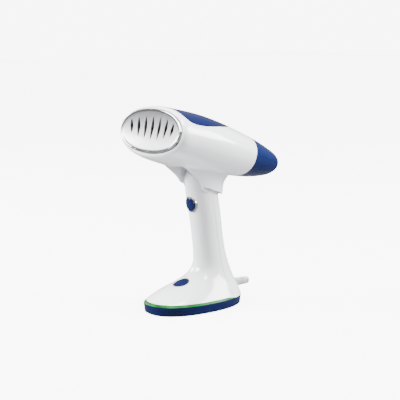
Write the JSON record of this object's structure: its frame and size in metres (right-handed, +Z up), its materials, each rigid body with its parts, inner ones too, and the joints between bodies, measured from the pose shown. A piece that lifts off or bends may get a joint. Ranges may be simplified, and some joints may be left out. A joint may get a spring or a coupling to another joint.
{
  "type": "garment steamer",
  "caption": "Folding handheld garment steamer: oval head with a slotted steam plate and rear water tank, on a slim handle with a flat oval foot.",
  "frame": {"origin": "centre of the sole's underside, on the surface that the steamer stands on", "axes": "+Z up, -Y the way the steam plate faces, X the width"},
  "size_m": [0.1132, 0.1703, 0.2316],
  "materials": {
    "white_gloss": "glossy white moulding",
    "blue_gloss": "glossy royal blue moulding",
    "blue_clear": "tinted clear blue moulding",
    "green_light": "lit green light guide",
    "silver_trim": "bright plated trim",
    "plate_metal": "satin coated plate",
    "cast_metal": "as-cast",
    "steel": "plated steel",
    "dark_plastic": "matt black",
    "inner_plastic": "matt grey moulding",
    "board": "circuit board",
    "copper": "enamelled winding",
    "silicone": "translucent silicone",
    "sole_rubber": "matt rubber",
    "white_rubber": "satin flexible plastic",
    "lead_red": "insulated leads"
  },
  "bodies": {
    "stand": {"sole_pad": "sole_rubber", "base_tray": "blue_gloss", "base_screws": "steel", "light_board": "board", "light_strip": "green_light", "handle_front_shell": "white_gloss", "handle_rear_shell": "white_gloss", "handle_screws": "steel", "trigger_bezel": "silver_trim", "power_bezel": "silver_trim", "trigger_switch": "dark_plastic", "power_switch": "dark_plastic", "trigger_dome": "silicone", "power_dome": "silicone", "control_board": "board", "handle_leads": "lead_red", "strain_relief": "white_rubber", "cord_clamp": "inner_plastic", "clamp_screws": "steel", "hinge_drum": "white_gloss", "hinge_bushes": "inner_plastic"},
    "head": {"hinge_axle": "steel", "hinge_washers": "inner_plastic", "head_shell": "white_gloss", "hinge_housing": "inner_plastic", "top_inlay": "blue_gloss", "plate_ring": "silver_trim", "steam_plate": "plate_metal", "plate_gasket": "silicone", "boiler_body": "cast_metal", "boiler_cover": "cast_metal", "boiler_screws": "steel", "heating_element": "steel", "thermostat": "steel", "thermal_fuse": "steel", "pump_body": "inner_plastic", "pump_coil": "copper", "inlet_hose": "silicone", "outlet_hose": "silicone", "bulkhead": "inner_plastic", "valve_seat": "inner_plastic", "head_leads": "lead_red"},
    "tank": {"water_tank": "blue_clear", "tank_cap": "inner_plastic", "tank_valve": "inner_plastic", "tank_seal": "silicone"},
    "stopper": {"fill_stopper": "blue_gloss"},
    "trigger": {"steam_trigger": "blue_gloss"},
    "power": {"power_button": "blue_gloss"}
  },
  "joints": [
    {"name": "head_fold", "type": "hinge", "parent": "stand", "child": "head", "pos_m": [0, 0.01193, 0.14381], "axis": [1, 0, 0], "range_deg": [0, 100]},
    {"name": "tank_slide", "type": "slide", "parent": "head", "child": "tank", "axis": [0, 0.969, -0.247], "range_m": [0, 0.045]},
    {"name": "stopper_pull", "type": "slide", "parent": "tank", "child": "stopper", "axis": [0, 0.247, 0.969], "range_m": [0, 0.012]},
    {"name": "trigger_press", "type": "slide", "parent": "stand", "child": "trigger", "axis": [0, 0.9807, 0.1955], "range_m": [0, 0.0022], "stiffness_N_per_m": 600, "springref_m": -0.001, "deforming": ["trigger_dome"]},
    {"name": "power_press", "type": "slide", "parent": "stand", "child": "power", "axis": [0, 0.4368, -0.8995], "range_m": [0, 0.0014], "stiffness_N_per_m": 900, "springref_m": -0.001, "deforming": ["power_dome"]}
  ]
}
